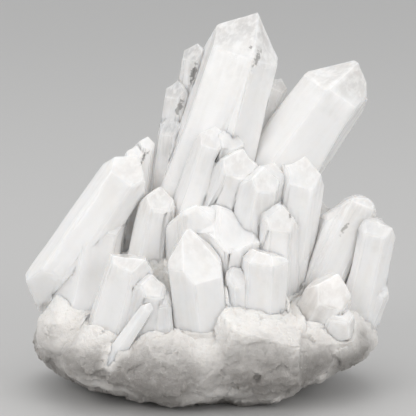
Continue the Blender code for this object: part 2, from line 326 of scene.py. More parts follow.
def growthSkinTree(pattern):
    # the skin of a grown crystal: waves, growth lines, chipped edges, frost and broken faces
    tree, w, given = newTree("growthSkin", [
        "waves", "growthLines", "ribs", "chips", "frost", "breakage", "rubble", "frostStarts", "shift"])

    def attribute(name, kind):
        return w.add("GeometryNodeInputNamedAttribute", {"data_type": kind}, {"Name": name})

    here = w.inMillimetres(w.add("GeometryNodeInputPosition"))
    here = w.vectorMath("ADD", {0: here, 1: given["shift"]})
    grain = attribute("grain", "FLOAT_VECTOR")
    side, edge = attribute("side", "FLOAT"), attribute("edge", "FLOAT")
    broken, fromTip = attribute("broken", "FLOAT"), attribute("fromTip", "FLOAT")
    frostStarts = given["frostStarts"]

    broad, fine = pattern["waves"]
    waves = (w.cloud(here, broad, 1.0) - 0.5) * 2.0 + (w.cloud(here, fine, 2.0) - 0.5) * 0.5
    slow = w.cloud(w.stretch(grain, pattern["stepStretch"]), 1.0, 1.0)
    steps = slow.maths("SNAP", slow, pattern["stepSize"])
    lines = (w.cloud(w.stretch(grain, pattern["lineStretch"]), 1.0, 2.0, 0.7) - 0.5) * pattern["lineHeight"]
    lines += (steps - 0.5) * 2.0
    ribs = w.cloud(w.stretch(grain, pattern["ribStretch"]), 1.0, 1.5, 0.6).ramp(*pattern["ribEdges"]) - 0.5
    hills = (1.0 - w.cells(here, pattern["hill"])) * 0.5
    bitten = w.cloud(here, pattern["bite"], 3.0, 0.6).ramp(*pattern["biteEdges"]) * edge
    nicks = w.cells(here, pattern["nick"]).ramp(*pattern["nickEdges"])
    frosty = w.cloud(here, pattern["frostGrain"], 3.0, 0.7) - 0.5
    frosty = frosty * fromTip.ramp(frostStarts, frostStarts + pattern["frostRun"])
    torn = w.cloud(w.stretch(here, pattern["tornStretch"]), pattern["tornGrain"], 4.0, 0.65) - 0.5
    starts, ends = pattern["rubbleStarts"]
    low = fromTip + (w.cloud(here, pattern["rubblePatch"]) - 0.5) * pattern["rubbleSpread"]
    low = low.ramp(frostStarts + starts, frostStarts + ends)
    large, small = pattern["rubble"]
    rubble = w.rubble(here, large, 0.8, 0.9) + w.rubble(here, small, 0.8, 0.4) - 0.2

    rise = given["waves"] * waves + given["growthLines"] * (side * lines + (1.0 - side) * hills)
    rise += given["ribs"] * ribs * side * fromTip.ramp(*pattern["ribsStart"])
    rise -= given["chips"] * (bitten + nicks * pattern["nickDepth"])
    rise += given["frost"] * frosty * 2.0
    rise += given["breakage"] * broken * torn
    rise += given["rubble"] * low * rubble
    raiseSkin(w, given, rise)
    return tree


rockPattern = {
    "flake": 4.6, "grain": 1.1,  # mm across, and so is all else in the next line
    "chips": (9.0, 3.6), "cavity": 7.5, "cavityPatch": 14.0, "smallHole": 3.1,
    "cavityEdges": (0.26, 0.1), "patchEdges": (0.5, 0.58), "smallEdges": (0.22, 0.08),
    "smallDepth": 0.35,  # as a share of the others'
    "smoothRun": 6.0,  # mm over which the smoother top begins
    "smoothShare": 0.4,  # how much of the roughness is left there
    "holesLeft": 0.25,  # and how much of the hollows
}


def rockSkinTree(pattern):
    # the rough block's skin: flaky lumps, sugary grains and small hollows
    tree, w, given = newTree("rockSkin", ["chips", "flakes", "grains", "smallHollows", "smoothAbove"])
    here = w.inMillimetres(w.add("GeometryNodeInputPosition"))
    border = given["smoothAbove"]
    low = w.heightOf(here).ramp(border + pattern["smoothRun"], border - pattern["smoothRun"])
    rough = pattern["smoothShare"] + low * (1 - pattern["smoothShare"])

    flakes = (w.cloud(here, pattern["flake"], 4.0, 0.6) - 0.5) * 2.0
    grains = w.rubble(here, pattern["grain"], 1.0, 0.9)
    cavity = w.cells(here, pattern["cavity"]).ramp(*pattern["cavityEdges"])
    cavity = cavity * w.cloud(here, pattern["cavityPatch"]).ramp(*pattern["patchEdges"])
    small = w.cells(here, pattern["smallHole"]).ramp(*pattern["smallEdges"]) * pattern["smallDepth"]
    large, fine = pattern["chips"]
    chips = w.rubble(here, large, 0.7, 0.4) + w.rubble(here, fine, 0.8, 0.3)

    rise = given["chips"] * chips * rough + given["flakes"] * flakes * rough + given["grains"] * grains
    holes = pattern["holesLeft"] + low * (1 - pattern["holesLeft"])
    rise -= given["smallHollows"] * (cavity + small) * holes
    raiseSkin(w, given, rise)
    return tree


growthSkin = growthSkinTree(growthPattern)
rockSkin = rockSkinTree(rockPattern)
print("geometry trees built")


# Quartz, milky inside and clearer towards the tips.

usualLooks = {
    "milk": (0.955, 0.938, 0.92),  # the white of the milky inside
    "haze": (0.875, 0.862, 0.85),  # the greyer clouds in it
    "foot": (0.945, 0.92, 0.89),  # the greyer clouds in it, and the painted shade of the clearer tip
    "clear": 0.25,  # how see-through the tip is
    "clearLength": 16.0,  # mm from the tip to where it's milky
    "gloss": 0.2,  # roughness of clean faces
    "frosted": 0.46,  # roughness of frosted feet
    "frostStarts": 22.0,  # mm from the tip
    "waves": 0.2, "growthLines": 0.09, "ribs": 0.14, "chips": 0.32,  # mm, and so are the next three
    "frost": 0.1, "breakage": 0.9, "rubble": 0.28,
    "marks": (),  # dark flaws: place, reach, turn about Y in degrees, darkness
}
quartzPaint = {
    "cloud": 7.0, "fine": 1.6,  # mm across
    "veilStretch": (0.5, 0.5, 0.055), "veilEdges": (0.42, 0.66), "veilShare": 0.45,
    "tipSpread": 16.0, "footSpread": 18.0, "footRun": 26.0,  # mm
    "hazeEdges": (0.62, 0.36), "hazeShares": (0.45, 0.5, 0.35),  # of clouds, the tip's painted shade and fine grain
    # the worn tint whitens edges, partly frosted wear and partly painted highlight, and lights joints as
    # painted light against their shade
    "veil": (0.972, 0.966, 0.958), "wornAndLitTint": (0.988, 0.978, 0.966), "flaw": (0.16, 0.155, 0.15),
    "footShare": 0.8, "wornAndHighlightShare": 0.6, "jointLightShare": 0.9,
    "wornRough": 0.12, "brokenRough": 0.1,
    "lineStretch": (0.25, 0.25, 3.4), "grit": 0.45, "bumpHeight": 0.12, "bumpStrength": 0.35,
    "glass": (0.96, 0.97, 0.97),
    "scatter": 3.0,  # mm
}
flawShape = {"grain": 0.9, "ragged": 3.2, "share": 0.45, "edges": (0.62, 0.3)}
quartzIor = 1.544
scatterTints = (1.0, 0.95, 0.9)


def flaws(w, here, marks):
    # the share of the surface that small dark flaws cover
    ragged = w.add("ShaderNodeTexNoise", sockets={
        "Vector": here, "Scale": flawShape["grain"], "Detail": 3.0}, out=1)
    spread = flawShape["ragged"]
    ragged = w.vectorMath("MULTIPLY_ADD", {0: ragged, 1: (spread,) * 3, 2: (-spread / 2,) * 3})
    total = 0.0
    for place, reach, turn, darkness in marks:
        local = w.add("ShaderNodeMapping", {"vector_type": "TEXTURE"}, {
            "Vector": here, "Location": place, "Rotation": (0, math.radians(turn), 0), "Scale": reach})
        local = w.add("ShaderNodeMix", {"data_type": "VECTOR"},
                      {0: flawShape["share"], 4: local, 5: ragged}, 1)
        away = w.vectorMath("LENGTH", {0: local}, 1)
        total = away.ramp(*flawShape["edges"]) * darkness + total
    return total


def newFinish(name):
    # a material to fill, the place in mm on the object, and a way to read an attribute
    material = bpy.data.materials.new(name)
    w = emptied(material)

    def attribute(label, out=2):
        return w.add("ShaderNodeAttribute", {"attribute_name": label}, out=out)

    return material, w, w.inMillimetres(w.add("ShaderNodeTexCoord", out=3)), attribute


def milkyStone(w, paint, colour, rough, height):
    # light goes into the stone and comes out again nearby
    bump = w.add("ShaderNodeBump", sockets={
        "Strength": paint["bumpStrength"], "Distance": paint["bumpHeight"] * mm, "Height": height})
    stone = w.add("ShaderNodeBsdfPrincipled", sockets={
        "Base Color": colour, "Roughness": rough, "IOR": quartzIor, "Normal": bump,
        "Subsurface Weight": 1.0, "Subsurface Radius": scatterTints,
        "Subsurface Scale": paint["scatter"] * mm})
    return stone, bump


def quartzFinish(name, looks):
    paint = quartzPaint
    material, w, here, attribute = newFinish(name)
    grain = attribute("grain", 1)
    fromTip, edge = attribute("fromTip"), attribute("edge")
    broken, joint = attribute("broken"), attribute("joint")

    clouds = w.cloud(here, paint["cloud"], 4.0, 0.6)
    fine = w.cloud(here, paint["fine"], 4.0, 0.65)
    veils = w.cloud(w.stretch(grain, paint["veilStretch"]), 1.0, 3.0, 0.55).ramp(*paint["veilEdges"])
    tip = (fromTip + (clouds - 0.5) * paint["tipSpread"]).ramp(looks["clearLength"], 0.0)
    foot = fromTip + (clouds - 0.5) * paint["footSpread"]
    foot = foot.ramp(looks["frostStarts"], looks["frostStarts"] + paint["footRun"])
    worn = (edge * (0.4 + fine)).least(1.0)

    cloudShare, tipShadeShare, fineShare = paint["hazeShares"]
    # greyer clouds and grain, and towards the tip a painted shade as if seen through clearer quartz
    hazeAndTipShadeMask = clouds.ramp(*paint["hazeEdges"]) * cloudShare + tip * tipShadeShare + (fine - 0.5) * fineShare
    colour = w.blend(hazeAndTipShadeMask.most(0.0).least(1.0), looks["milk"], looks["haze"])
    colour = w.blend(foot * paint["footShare"], colour, looks["foot"])
    colour = w.blend(veils * paint["veilShare"], colour, paint["veil"])
    # edges whiten as partly frosted wear, partly painted highlight; joints whiten as painted light where
    # shade falls between crystals
    litAndWorn = (worn * paint["wornAndHighlightShare"]).most(joint * paint["jointLightShare"])
    colour = w.blend(litAndWorn, colour, paint["wornAndLitTint"])
    if looks["marks"]:
        dark = flaws(w, here, looks["marks"])
        colour = w.blend(dark.least(1.0), colour, paint["flaw"])
    rough = looks["gloss"] + foot * (looks["frosted"] - looks["gloss"])
    rough = rough + worn * paint["wornRough"] + broken * paint["brokenRough"]

    lines = w.cloud(w.stretch(grain, paint["lineStretch"]), 1.0, 2.0, 0.6) * 0.6
    grit = w.cloud(here, paint["grit"], 2.0, 0.6) * (0.25 + foot * 0.9 + broken)
    milky, bump = milkyStone(w, paint, colour, rough, lines + grit)
    glassy = w.add("ShaderNodeBsdfPrincipled", sockets={
        "Base Color": (*paint["glass"], 1), "Roughness": rough * 0.5, "IOR": quartzIor,
        "Transmission Weight": 1.0, "Normal": bump})
    clearness = tip * (1.0 - veils * 0.5) * (1.0 - worn * 0.6) * looks["clear"]
    shown = w.add("ShaderNodeMixShader", sockets={0: clearness, 1: milky, 2: glassy})
    w.add("ShaderNodeOutputMaterial", sockets={"Surface": shown})
    return material


# The crystals. Tips, feet and sizes are in millimetres, angles in degrees.

def point(tip, foot, half, turn=0, ends=(0, 4, 0, 4, 0, 4), taper=2.5, sides=(1, 1, 1, 1, 1, 1),
          cuts=(), broken=(), worn=(0.4,)):
    # ends lifts each end face along the axis, sides widens each side, and cuts and broken are
    # more faces, each a place and the way it looks; worn rounds the edges, once for each width
    return {"tip": Vector(tip) * mm, "foot": Vector(foot) * mm, "half": half * mm,
            "turn": math.radians(turn), "ends": ends, "taper": math.radians(taper), "sides": sides,
            "cuts": cuts, "broken": broken, "worn": worn}


def axesOf(crystal):
    up = (crystal["tip"] - crystal["foot"]).normalized()
    facing = Vector((0, -1, 0))
    facing = (facing - up * facing.dot(up)).normalized()
    return up, facing, up.cross(facing)


def flatFaces(planes, kind):
    return [(Vector(place) * mm, Vector(way).normalized(), kind) for place, way in planes]


def facesOf(crystal):
    # the flat faces of a point: a place, the way out, and what kind of face it is
    up, facing, right = axesOf(crystal)
    tip, half = crystal["tip"], crystal["half"]
    shoulder = tip - up * half * endRise
    faces = [(crystal["foot"], -up, "foot")]
    for k in range(6):
        angle = crystal["turn"] + k * math.pi / 3
        radial = facing * math.cos(angle) + right * math.sin(angle)
        sideOut = radial * math.cos(crystal["taper"]) + up * math.sin(crystal["taper"])
        endOut = up * math.sin(endLean) + radial * math.cos(endLean)
        faces.append((shoulder + radial * half * crystal["sides"][k], sideOut, "side"))
        faces.append((tip + up * crystal["ends"][k] * mm, endOut, "end"))
    return faces + flatFaces(crystal["cuts"], "cuts") + flatFaces(crystal["broken"], "broken")


def cutAway(bm, place, way):
    # take away what lies beyond a plane and close the cut
    bmesh.ops.bisect_plane(bm, geom=bm.verts[:] + bm.edges[:] + bm.faces[:], dist=closeCut,
                           plane_co=place, plane_no=way, clear_outer=True)
    rim = [edge for edge in bm.edges if edge.is_boundary]
    if rim:
        bmesh.ops.holes_fill(bm, edges=rim, sides=0)


def flatSided(faces):
    bm = bmesh.new()
    bmesh.ops.create_cube(bm, size=roomy)
    for place, way, kind in faces:
        cutAway(bm, place, way)
    bmesh.ops.remove_doubles(bm, verts=bm.verts, dist=weld)
    bmesh.ops.recalc_face_normals(bm, faces=bm.faces)
    return bm


leastBend = math.radians(8)  # an edge that bends less is left as it is


def roundEdges(bm, width):
    # a narrow flat along every edge, as wear leaves it
    planes = []
    for edge in bm.edges:
        first, second = [face.normal.copy() for face in edge.link_faces]
        bend = first.angle(second)
        if bend > leastBend:
            way = (first + second).normalized()
            depth = width * mm * math.tan(bend / 2) / 2
            planes.append(((edge.verts[0].co + edge.verts[1].co) / 2 - way * depth, way))
    for place, way in planes:
        cutAway(bm, place, way)
    bmesh.ops.remove_doubles(bm, verts=bm.verts, dist=weld)
    bm.normal_update()


edgeWidth = 0.35  # mm over which an edge's mark fades
grainApart = 40.0  # mm between one crystal's grain and the next one's
patternApart = (31.0, 17.0, 0.0)  # mm between one crystal's clouds and the next one's


def outsideOf(spots, faces):
    # how far each spot is outside each face, and the faces' ways out
    ways = np.array([way for place, way, kind in faces])
    return spots @ ways.T - np.array([place.dot(way) for place, way, kind in faces]), ways


def mapQuartz(mesh, crystals):
    # mark each corner of a mesh with its place in the crystal that it lies on
    spots = places(mesh)
    count = len(spots)
    nearest = np.full(count, farOff)
    marks = {name: np.zeros(count) for name in ("fromTip", "edge", "side", "broken")}
    grain = np.zeros((count, 3))
    for number, crystal in enumerate(crystals):
        faces = [face for face in facesOf(crystal) if face[2] != "foot"]
        depths = outsideOf(spots, faces)[0]
        order = np.argsort(depths, axis=1)
        top, second = order[:, -1], order[:, -2]
        rows = np.arange(count)
        away = np.abs(depths[rows, top])
        here = away < nearest
        nearest = np.where(here, away, nearest)
        toEdge = (depths[rows, top] - depths[rows, second]) / mm
        kinds = np.array([kind for place, way, kind in faces])[top[here]]
        axes = np.array(axesOf(crystal))
        local = (spots - np.array(crystal["tip"])) @ axes.T / mm
        marks["fromTip"][here] = -local[here, 0]
        marks["edge"][here] = np.exp(-toEdge[here] / edgeWidth)
        marks["side"][here] = kinds == "side"
        marks["broken"][here] = kinds == "broken"
        grain[here] = local[here][:, [1, 2, 0]] + grainApart * number
    for name, values in marks.items():
        writeAttribute(mesh, name, "FLOAT", values)
    writeAttribute(mesh, "grain", "FLOAT_VECTOR", grain)


fineLevels = 3  # how often each face of a point is divided


def fineCrystal(crystal, looks, number, levels):
    # one point with its faces divided, and its skin raised; long faces stay coarse lengthwise
    bm = flatSided(facesOf(crystal))
    for width in crystal["worn"]:
        roundEdges(bm, width)
    made = linkFilled("crystal", bm)
    finer = made.modifiers.new("finer", "SUBSURF")
    finer.subdivision_type = "SIMPLE"
    finer.levels = finer.render_levels = levels
    settle(made)
    mapQuartz(made.data, [crystal])
    useTree(made, growthSkin, dict(looks, shift=[apart * number for apart in patternApart]))
    return made


def grownTogether(crystals, looks, levels):
    return joined([fineCrystal(crystal, looks, i, levels) for i, crystal in enumerate(crystals)])


healed = {
    "bury": 5.6,  # mm that a crystal reaches into the one in front, at most
    "buryShare": 0.66,  # and at most this share of that one's half width
    "reach": 7.6, "reachShare": 1.05,  # the same for how far from a joint the healing starts
    "sink": 0.45,  # mm that its outer rim dips into the crystal in front
    "rim": 0.55,  # the share of the buried depth where the rim starts
    "skin": 1.5,  # mm of depth that counts as surface
    "ownShare": 0.8,  # the reach between two points of one piece, as a share
    "stride": 1.3, "steps": 7,  # mm in one step, and the steps
    "leastSlope": 0.15,  # keeps the steps short in a narrow gap
    "rounds": 3, "follow": 0.6,  # how the shifts are evened out, and how strongly
}


def healing(crystal, name):
    # its "bury" or its "reach", in mm, which is less where the crystal is slim
    return min(healed[name], crystal["half"] / mm * healed[name + "Share"])


def plainCrystal(crystal, grow):
    faces = [(place + way * grow * mm, way, kind) for place, way, kind in facesOf(crystal)]
    return linkFilled("room", flatSided(faces))


def boxesMeet(first, second):
    a, b = places(first.data), places(second.data)
    if not len(b):
        return False
    return bool(np.all(a.min(0) <= b.max(0)) and np.all(b.min(0) <= a.max(0)))


def evenOut(mesh, shifts, moving):
    # let each corner's shift follow its neighbours', so that nothing folds
    ends = readRows(mesh.edges, "vertices", 2, np.int32)
    first, second = np.concatenate([ends, ends[:, ::-1]]).T
    count = len(shifts)
    links = np.maximum(np.bincount(first, minlength=count), 1)
    for turn in range(healed["rounds"]):
        around = np.stack([np.bincount(first, weights=shifts[second, axis], minlength=count)
                           for axis in range(3)], axis=1) / links[:, None]
        evened = shifts * (1 - healed["follow"]) + around * healed["follow"]
        shifts = np.where(moving[:, None], evened, shifts)
    return shifts


def keepLargest(piece):
    # take away the loose crumbs that a cut leaves
    mesh = piece.data
    ends = readRows(mesh.edges, "vertices", 2, np.int32)
    label = np.arange(len(mesh.vertices))
    while True:
        low = label[ends].min(axis=1)
        fresh = label.copy()
        np.minimum.at(fresh, ends[:, 0], low)
        np.minimum.at(fresh, ends[:, 1], low)
        fresh = fresh[fresh]
        if np.array_equal(fresh, label):
            break
        label = fresh
    names, sizes = np.unique(label, return_counts=True)
    if len(names) == 1:
        return
    keep = label == names[np.argmax(sizes)]
    bm = bmesh.new()
    bm.from_mesh(mesh)
    bmesh.ops.delete(bm, geom=[vert for vert in bm.verts if not keep[vert.index]], context="VERTS")
    bm.to_mesh(mesh)
    bm.free()


def fitRound(piece, crystals):
    # cut the piece back from all of these crystals at once
    rooms = []
    for crystal in crystals:
        room = plainCrystal(crystal, -healing(crystal, "bury"))
        if boxesMeet(piece, room):
            rooms.append(room)
        else:
            removeObject(room)
    if rooms:
        combine(piece, joined(rooms), "DIFFERENCE")
    keepLargest(piece)


def twoNearest(spots, crystals):
    # the two crystals nearest to each spot: how far outside them it is, the way out and their number
    rows = np.arange(len(spots))
    far = np.full((2, len(spots)), farOff)
    out = np.zeros((2, len(spots), 3))
    which = np.zeros((2, len(spots)), dtype=int)
    for number, crystal in enumerate(crystals):
        depths, ways = outsideOf(spots, facesOf(crystal))
        top = depths.argmax(axis=1)
        depth, way = depths[rows, top], ways[top]
        closer = depth < far[0]
        between = ~closer & (depth < far[1])
        for kept, fresh in ((far, depth), (out, way), (which, np.full(len(spots), number))):
            kept[1, closer] = kept[0, closer]
            kept[1, between] = fresh[between]
            kept[0, closer] = fresh[closer]
    return far, out, which


def healSeams(piece, own, crystals, skin=None):
    # grow the surface smoothly over from one crystal to the next, as quartz heals a joint.
    # It keeps the small rises and dips that it has; skin is the uncut block, where it's the block.
    mesh = piece.data
    spots = places(mesh)
    count = len(spots)
    known = own + crystals
    reach = np.array([healing(crystal, "reach") for crystal in known]) * mm
    depth = np.array([healing(crystal, "bury") for crystal in crystals] or [healed["bury"]]) * mm
    far, out, which = twoNearest(spots, crystals)
    near, rim = far[0], healed["rim"]
    lip = np.clip((-near / depth[which[0]] - rim) / (1 - rim), 0, 1)
    base, planeOut = spots.copy(), np.zeros((count, 3))
    if skin:
        level = np.full(count, -1.0)
        for i in np.flatnonzero(near < healed["reach"] * mm):
            place, way, face, away = skin.find_nearest(spots[i])
            level[i] = -away
            planeOut[i] = way
    else:
        level = twoNearest(spots, own)[0][0]
    moving = level > -healed["skin"] * mm
    target = level * (0.0 if skin else 1.0) - lip * healed["sink"] * mm
    joint = np.where((near < 0) & ~moving, 1.0, 0.0)
    at = spots[moving]
    for step in range(healed["steps"]):
        far, out, which = twoNearest(at, known)
        if skin:
            height = ((at - base[moving]) * planeOut[moving]).sum(axis=1)
            lower = height < far[0]
            out = [np.where(lower[:, None], planeOut[moving], out[0]),
                   np.where(lower[:, None], out[0], planeOut[moving])]
            far = [np.minimum(height, far[0]), np.maximum(height, far[0])]
            soft = reach[which[0]]
        else:
            soft = np.minimum(reach[which[0]], reach[which[1]])
            soft = soft * np.where(np.maximum(which[0], which[1]) < len(own), healed["ownShare"], 1.0)
        share = np.clip(1 - (far[1] - far[0]) / soft, 0, 1)
        value = far[0] - share ** 2 * soft / 4
        slope = out[0] * (1 - share / 2)[:, None] + out[1] * (share / 2)[:, None]
        size = np.maximum((slope ** 2).sum(axis=1), healed["leastSlope"])
        stride = healed["stride"] * mm
        move = np.clip((target[moving] - value) / size, -stride, stride)
        at = at + slope * move[:, None]
        if step == 0:
            joint[moving] = share
    shifts = np.zeros((count, 3))
    shifts[moving] = at - spots[moving]
    writeAttribute(mesh, "joint", "FLOAT", joint)
    setPlaces(mesh, spots + evenOut(mesh, shifts, moving))


sharpFrom = {"milky_quartz": 34, "rough_quartz": 50}  # degrees between two faces


def handOver(piece, node, slot, finish):
    # shade the piece; it stands for its CAD node and moves with it
    piece.data.shade_smooth()
    piece.data.set_sharp_from_angle(angle=math.radians(sharpFrom[slot]))
    piece.data.materials.clear()
    piece.data.materials.append(finish)
    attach(piece, "root")
    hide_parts(node)


inFront = []  # the points that later pieces are fitted round


def growPiece(piece):
    # one named piece: its points joined, fitted round those in front, and finished
    looks = dict(usualLooks, **piece.get("looks", {}))
    crystals = piece["points"]
    made = grownTogether(crystals, looks, fineLevels)
    fitRound(made, inFront)
    mapQuartz(made.data, crystals)
    healSeams(made, crystals, inFront)
    made.name = piece["node"] + "_quartz"
    handOver(made, piece["node"], "milky_quartz", quartzFinish(piece["node"] + "_finish", looks))
    inFront.extend(crystals)
    print("grown:", piece["node"], len(made.data.polygons), "faces")


frontCrystal = {
    "node": "front_crystal",
    "points": [
        point((-5.2, -32, 56.4), (0.5, -25, 10), 7.9, turn=25, ends=(-3.6, -0.5, 3, 4, 2, 0), taper=1.5,
              worn=(0.7, 0.35)),
    ],
    "looks": {"clear": 0.1, "frostStarts": 34.0, "chips": 0.3},
}
growPiece(frontCrystal)

frontRightCrystal = {
    "node": "front_right_crystal",
    "points": [
        point((18.2, -28, 54), (16, -23, 8), 6.4, turn=-14, ends=(1, 1, 1, 2, 1, 1), taper=-1,
              cuts=[((17.8, -28, 49), (0.26, 0.1, 0.96))]),
        point((8.1, -27.5, 45), (8.6, -24, 12), 4.4, turn=30, worn=(0.8, 0.4)),
    ],
    "looks": {"clear": 0.1, "growthLines": 0.12},
}
growPiece(frontRightCrystal)

bladeCrystal = {
    "node": "blade_crystal",
    "points": [point((-17.4, -35, 35), (-30.5, -33, 15), 1.9, turn=20, worn=(0.3,))],
    "looks": {"clear": 0.05, "milk": (0.975, 0.965, 0.955), "frostStarts": 40.0, "waves": 0.08,
              "chips": 0.15},
}
growPiece(bladeCrystal)

frontLeftCrystal = {
    "node": "front_left_crystal",
    "points": [
        point((-21.8, -27, 53), (-33, -22, 12), 6.4, turn=-20,
              cuts=[((-22, -28, 47.4), (0.12, 0.1, 0.98))]),
        point((-17, -31, 43), (-23.5, -25, 10), 4.6, turn=20, worn=(0.8, 0.4)),
        point((-14.4, -30, 38.5), (-13.6, -26, 10), 3.8, turn=5, worn=(0.8, 0.4)),
    ],
    "looks": {"clear": 0.15, "growthLines": 0.12},
}
growPiece(frontLeftCrystal)

rightFrontCrystal = {
    "node": "right_front_crystal",
    "points": [
        point((40.5, -25, 42), (29, -14, 14), 6.8, turn=10, worn=(0.8, 0.4)),
        point((43.5, -30, 27.5), (35, -12, 20), 4.8, turn=0, worn=(1.0, 0.5)),
    ],
    # its darker milk and foot are painted shade over the whole crystal
    "looks": {"clear": 0.0, "milk": (0.74, 0.72, 0.7), "foot": (0.7, 0.68, 0.655), "frostStarts": 4.0,
              "growthLines": 0.25, "frost": 0.22, "chips": 0.5},
}
growPiece(rightFrontCrystal)

centerCrystal = {
    "node": "center_crystal",
    "points": [
        point((-3.5, -15, 68), (-3.5, -8, 12), 9.0, turn=4, ends=(8, 8, 8, 8, 8, 8), taper=1,
              sides=(1, 1.25, 1.1, 1, 1, 1),
              cuts=[((-9, -22, 61), (-0.42, 0.35, 0.84)), ((2, -22, 60.3), (0.48, 0.42, 0.77))],
              worn=(2.2, 1.1, 0.5)),
        point((6.3, -18.5, 64), (5, -14.5, 12), 9.0, turn=26, ends=(-2.5, 1, 2, 3, 3, 1), taper=1,
              cuts=[((6.5, -18, 60.8), (0.3, -0.05, 0.95))], worn=(1.2, 0.6)),
    ],
    "looks": {"clear": 0.08, "waves": 0.16, "ribs": 0.08, "frostStarts": 36.0},
}
growPiece(centerCrystal)

innerLeftCrystal = {
    "node": "inner_left_crystal",
    "points": [point((-14.8, -8, 67), (-24, -9, 14), 5.5, turn=10, worn=(1.4, 0.7, 0.35))],
    "looks": {"clear": 0.2},
}
growPiece(innerLeftCrystal)

leftCrystal = {
    "node": "left_crystal",
    "points": [
        point((-21.6, -5, 76.0), (-56, -9, 27), 7.0, turn=-6, ends=(0, 3, 0, 3, 0, 4), taper=0.5,
              cuts=[((-58.4, -12, 38), (-0.95, 0, -0.3))],
              broken=[((-58.4, -12, 38), (-0.21, -0.84, -0.49)),
                      ((-45.9, -15.5, 38.7), (0.51, -0.53, -0.68))],
              worn=(1.2, 0.6)),
        point((-33.5, -3.5, 60), (-41.5, -13, 17), 7.6, turn=12, taper=1.5),
        point((-19.2, 5, 80.5), (-29, 3, 30), 2.8, turn=10, taper=4),
        point((-22.8, 3, 77.5), (-32, 1, 30), 3.0, turn=-10, taper=4),
    ],
    "looks": {
        "clear": 0.08, "frostStarts": 46.0, "waves": 0.3, "breakage": 0.5,
        "marks": [((-20.2, -1.5, 74.6), (0.9, 4, 2.6), 35, 0.7),
                  ((-22.6, -3.0, 72.4), (0.8, 4, 1.6), 60, 0.6)],
    },
}
growPiece(leftCrystal)

slenderCrystals = {
    "node": "slender_crystals",
    "points": [
        point((2.6, -7, 85.5), (-12.5, -4, 30), 5.0, worn=(0.5,)),
        point((7.6, -6.4, 84.5), (-7, -4, 30), 4.6, turn=15, worn=(0.5,)),
        point((11, -12, 79), (-1.5, -6, 30), 6.3, worn=(0.8, 0.4)),
        point((17.4, -17, 74), (7, -8, 30), 5.2, turn=25, worn=(0.5,)),
        point((20.6, -11, 75), (12, -6, 30), 5.5, turn=-5, worn=(0.6,)),
    ],
    "looks": {"clear": 0.12, "clearLength": 22.0, "growthLines": 0.1, "ribs": 0.4},
}
growPiece(slenderCrystals)

middleRightCrystal = {
    "node": "middle_right_crystal",
    "points": [
        point((30.6, -8, 76), (20.5, -5, 20), 6.8),
        point((22.9, -19, 62.5), (18.5, -12, 18), 5.4, worn=(0.8, 0.4)),
    ],
    "looks": {"clear": 0.12, "marks": [((25.4, -19.5, 58.6), (0.5, 2.2, 1.3), 0, 0.7)]},
}
growPiece(middleRightCrystal)

rightLowCrystal = {
    "node": "right_low_crystal",
    "points": [
        point((50, -3, 66), (26, -2, 14), 7.4, turn=10, ends=(4, 4, 4, 4, 4, 4), taper=2.5,
              cuts=[((48, -3, 62.7), (0.1, 0.1, 1)), ((42.8, -3, 60.6), (-0.6, 0.1, 0.8)),
                    ((52.2, -3, 60.5), (0.8, 0.1, 0.6))],
              worn=(2.8, 1.4, 0.7)),
        point((36.8, 6, 59.5), (28, 5, 25), 3.2),
    ],
    "looks": {"clear": 0.18, "marks": [((43.0, -11.5, 53.6), (0.7, 4, 2.6), 30, 0.5)]},
}
growPiece(rightLowCrystal)

rightOuterCrystal = {
    "node": "right_outer_crystal",
    "points": [
        point((54.9, -8, 58), (46.4, -6, 17), 5.4, turn=-10, taper=0.5,
              cuts=[((56, -8, 54), (0.25, 0.1, 0.95))], worn=(0.7, 0.35)),
        point((55.6, -8, 35.5), (48, -6, 18), 3.4),
    ],
    "looks": {"clear": 0.15, "growthLines": 0.12},
}
growPiece(rightOuterCrystal)

tallCrystal = {
    "node": "tall_crystal",
    "points": [
        point((14.6, 8, 119.6), (-17, 5, 14), 10.6, turn=-22, ends=(0, 2, 2, 4, 0, 6), taper=2.9,
              sides=(1, 1.16, 1, 1, 1, 1)),
        point((-3.5, 13, 109.6), (-8, 12, 40), 4.2, turn=-30),
        point((-9.4, 11, 97.6), (-13.5, 10, 40), 4.1, turn=-30),
        point((-10.8, 7, 86), (-14.7, 6, 35), 4.1, turn=-30),
        point((23.8, 15, 98.2), (6, 10, 62), 3.4),
    ],
    "looks": {
        "clear": 0.35, "clearLength": 24.0, "haze": (0.845, 0.84, 0.833), "ribs": 0.1, "frostStarts": 50.0,
        "marks": [((15.2, -3.0, 106.0), (0.9, 5, 3.4), 28, 0.65),
                  ((13.5, -3.0, 109.5), (0.5, 4, 0.6), 0, 0.6),
                  ((-4.6, 8.0, 100.5), (0.9, 5, 3.8), 16, 0.8),
                  ((-9.2, 6.6, 90.0), (1.1, 5, 2.6), 20, 0.6)],
    },
}
growPiece(tallCrystal)

rightCrystal = {
    "node": "right_crystal",
    "points": [
        point((47.4, 9, 104), (0, 5, 36), 10.2, turn=-50, ends=(0, 1, 5, 1, 3, 1.5), taper=1.5,
              worn=(0.5,)),
    ],
    "looks": {"clear": 0.3, "clearLength": 22.0, "waves": 0.24, "ribs": 0.1, "frostStarts": 50.0},
}
growPiece(rightCrystal)

backPieces = [
    {"node": "back_crystal", "points": [
        point((4, 34, 82), (-2, 8, 14), 9.0, turn=20),
        point((12, 36, 64), (4, 12, 20), 4.5)]},
    {"node": "back_left_crystal", "points": [
        point((-30, 27, 60), (-14, 6, 14), 8.0, turn=10)]},
    {"node": "back_right_crystal", "points": [
        point((34, 28, 56), (12, 6, 14), 8.0, turn=-5)]},
    {"node": "back_low_left_crystal", "points": [
        point((-42, 22, 36), (-20, 8, 12), 6.4, turn=15),
        point((-30, 36, 30), (-14, 12, 10), 5.0)]},
    {"node": "back_low_crystal", "points": [
        point((-8, 45, 42), (-4, 12, 12), 7.0, turn=5),
        point((12, 44, 32), (6, 12, 10), 5.5, turn=25)]},
    {"node": "back_low_right_crystal", "points": [
        point((48, 20, 38), (22, 8, 12), 6.2, turn=-10)]},
]
for piece in backPieces:
    growPiece(piece)
print("crystals grown")


# The rough block that they stand on.

